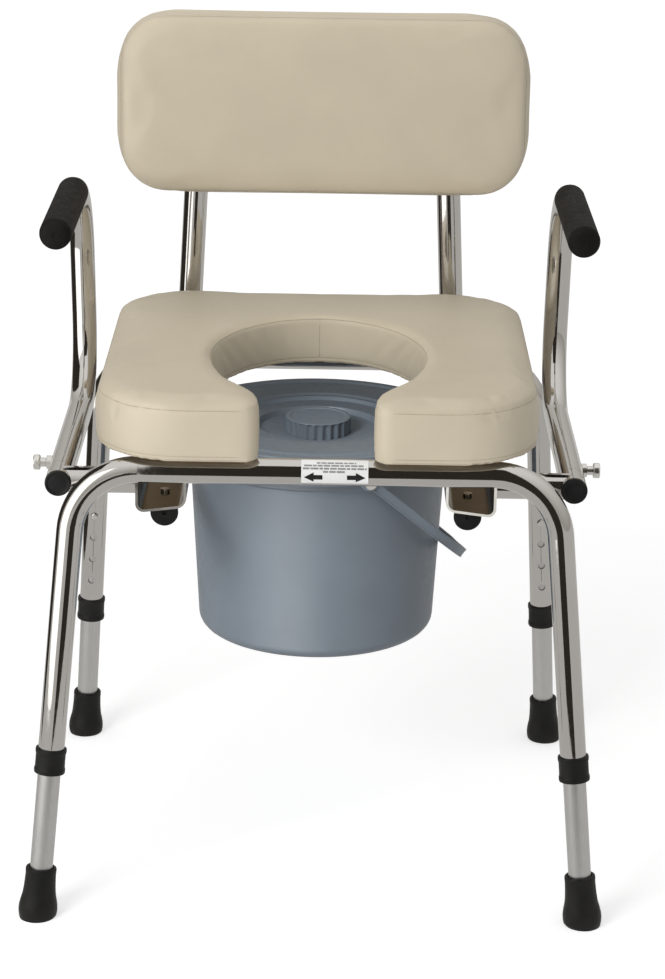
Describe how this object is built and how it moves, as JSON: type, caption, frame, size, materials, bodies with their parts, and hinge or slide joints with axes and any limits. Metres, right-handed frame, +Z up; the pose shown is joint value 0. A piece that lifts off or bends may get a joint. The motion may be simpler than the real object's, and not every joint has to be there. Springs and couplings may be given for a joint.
{
  "type": "commode chair",
  "caption": "Padded commode chair on a bent-tube frame with drop arms, height-adjustable legs, open-front seat and a lidded pail.",
  "frame": {"origin": "on the floor, at the centre of the chair's footprint box", "axes": "+Z up, +X to the right of someone who faces the chair's front, and +Y from the front to the back"},
  "size_m": [0.5692, 0.5264, 0.8135],
  "materials": {
    "chrome_tube": "bright chrome plate",
    "plated_sheet": "bright nickel plate",
    "satin_aluminium": "satin anodised",
    "zinc_steel": "zinc plate",
    "black_rubber": "matte moulded rubber",
    "black_foam": "fine-grained matte foam",
    "black_plastic": "satin moulded plastic",
    "cream_vinyl": "smooth vinyl-coated cloth over foam",
    "plywood": "raw plywood",
    "slate_plastic": "satin polypropylene",
    "white_label": "matte vinyl film"
  },
  "bodies": {
    "chair": {"arm_outrigger_left": "chrome_tube", "arm_outrigger_right": "chrome_tube", "back_board": "plywood", "back_bolts": "zinc_steel", "back_pad": "cream_vinyl", "back_post_left": "chrome_tube", "back_post_right": "chrome_tube", "back_socket_left": "chrome_tube", "back_socket_right": "chrome_tube", "frame_screws": "zinc_steel", "front_bracket_left": "plated_sheet", "front_bracket_right": "plated_sheet", "front_frame": "chrome_tube", "label_plate": "white_label", "leg_collars": "black_plastic", "pail_rail_left": "chrome_tube", "pail_rail_right": "chrome_tube", "pivot_sleeve_left": "chrome_tube", "pivot_sleeve_right": "chrome_tube", "pivot_tube_left": "chrome_tube", "pivot_tube_right": "chrome_tube", "post_caps": "black_plastic", "rail_front_plugs": "black_plastic", "rail_rear_plugs": "black_plastic", "rear_frame": "chrome_tube", "rear_hanger_left": "plated_sheet", "rear_hanger_right": "plated_sheet", "sleeve_plugs": "black_plastic", "stop_tab_left": "plated_sheet", "stop_tab_right": "plated_sheet"},
    "arm_left": {"arm_tube_left": "chrome_tube", "arm_grip_left": "black_foam", "pin_boss_left": "zinc_steel", "stop_bolt_left": "zinc_steel"},
    "arm_right": {"arm_tube_right": "chrome_tube", "arm_grip_right": "black_foam", "pin_boss_right": "zinc_steel", "stop_bolt_right": "zinc_steel"},
    "lock_pin_left": {"lock_pin_left": "zinc_steel"},
    "lock_pin_right": {"lock_pin_right": "zinc_steel"},
    "seat": {"seat_board": "plywood", "seat_pad": "cream_vinyl", "seat_clips": "black_plastic", "seat_screws": "zinc_steel"},
    "pail": {"pail": "slate_plastic", "bail_pivots": "zinc_steel"},
    "lid": {"pail_lid": "slate_plastic"},
    "bail": {"pail_handle": "slate_plastic"},
    "leg_front_left": {"leg_extension_front_left": "satin_aluminium", "leg_tip_front_left": "black_rubber"},
    "clip_front_left": {"snap_clip_front_left": "zinc_steel"},
    "leg_front_right": {"leg_extension_front_right": "satin_aluminium", "leg_tip_front_right": "black_rubber"},
    "clip_front_right": {"snap_clip_front_right": "zinc_steel"},
    "leg_rear_left": {"leg_extension_rear_left": "satin_aluminium", "leg_tip_rear_left": "black_rubber"},
    "clip_rear_left": {"snap_clip_rear_left": "zinc_steel"},
    "leg_rear_right": {"leg_extension_rear_right": "satin_aluminium", "leg_tip_rear_right": "black_rubber"},
    "clip_rear_right": {"snap_clip_rear_right": "zinc_steel"}
  },
  "joints": [
    {"name": "arm_left_swing", "type": "hinge", "parent": "chair", "child": "arm_left", "pos_m": [-0.2455, 0, 0.425], "axis": [0, -1, 0], "range_deg": [0, 180]},
    {"name": "lock_pin_left_pull", "type": "slide", "parent": "arm_left", "child": "lock_pin_left", "axis": [-1, 0, 0], "range_m": [-0.006, 0]},
    {"name": "arm_right_swing", "type": "hinge", "parent": "chair", "child": "arm_right", "pos_m": [0.2455, 0, 0.425], "axis": [0, 1, 0], "range_deg": [0, 180]},
    {"name": "lock_pin_right_pull", "type": "slide", "parent": "arm_right", "child": "lock_pin_right", "axis": [1, 0, 0], "range_m": [-0.006, 0]},
    {"name": "leg_front_left_height", "type": "slide", "parent": "chair", "child": "leg_front_left", "axis": [-0.0856, -0.0923, -0.992], "range_m": [-0.0508, 0.0762], "deforming": ["snap_clip_front_left"]},
    {"name": "leg_front_left_button", "type": "slide", "parent": "leg_front_left", "child": "clip_front_left", "axis": [0.0079, -0.9957, 0.092], "range_m": [0, 0.0035], "stiffness_N_per_m": 1500, "deforming": ["snap_clip_front_left"]},
    {"name": "leg_front_right_height", "type": "slide", "parent": "chair", "child": "leg_front_right", "axis": [0.0856, -0.0923, -0.992], "range_m": [-0.0508, 0.0762], "deforming": ["snap_clip_front_right"]},
    {"name": "leg_front_right_button", "type": "slide", "parent": "leg_front_right", "child": "clip_front_right", "axis": [-0.0079, -0.9957, 0.092], "range_m": [0, 0.0035], "stiffness_N_per_m": 1500, "deforming": ["snap_clip_front_right"]},
    {"name": "leg_rear_left_height", "type": "slide", "parent": "chair", "child": "leg_rear_left", "axis": [-0.0547, 0.0419, -0.9976], "range_m": [-0.0508, 0.0762], "deforming": ["snap_clip_rear_left"]},
    {"name": "leg_rear_left_button", "type": "slide", "parent": "leg_rear_left", "child": "clip_rear_left", "axis": [0.0023, 0.9991, 0.0419], "range_m": [0, 0.0035], "stiffness_N_per_m": 1500, "deforming": ["snap_clip_rear_left"]},
    {"name": "leg_rear_right_height", "type": "slide", "parent": "chair", "child": "leg_rear_right", "axis": [0.0547, 0.0419, -0.9976], "range_m": [-0.0508, 0.0762], "deforming": ["snap_clip_rear_right"]},
    {"name": "leg_rear_right_button", "type": "slide", "parent": "leg_rear_right", "child": "clip_rear_right", "axis": [-0.0023, 0.9991, 0.0419], "range_m": [0, 0.0035], "stiffness_N_per_m": 1500, "deforming": ["snap_clip_rear_right"]},
    {"name": "seat_lift", "type": "slide", "parent": "chair", "child": "seat", "axis": [0, 0, 1], "range_m": [0, 0.09]},
    {"name": "pail_slide_out", "type": "slide", "parent": "chair", "child": "pail", "axis": [0, 1, 0], "range_m": [0, 0.335]},
    {"name": "lid_lift", "type": "slide", "parent": "pail", "child": "lid", "axis": [0, 0, 1], "range_m": [0, 0.025]},
    {"name": "bail_swing", "type": "hinge", "parent": "pail", "child": "bail", "pos_m": [0, 0.038, 0.404], "axis": [0.342, -0.9397, 0], "range_deg": [0, 15]}
  ]
}
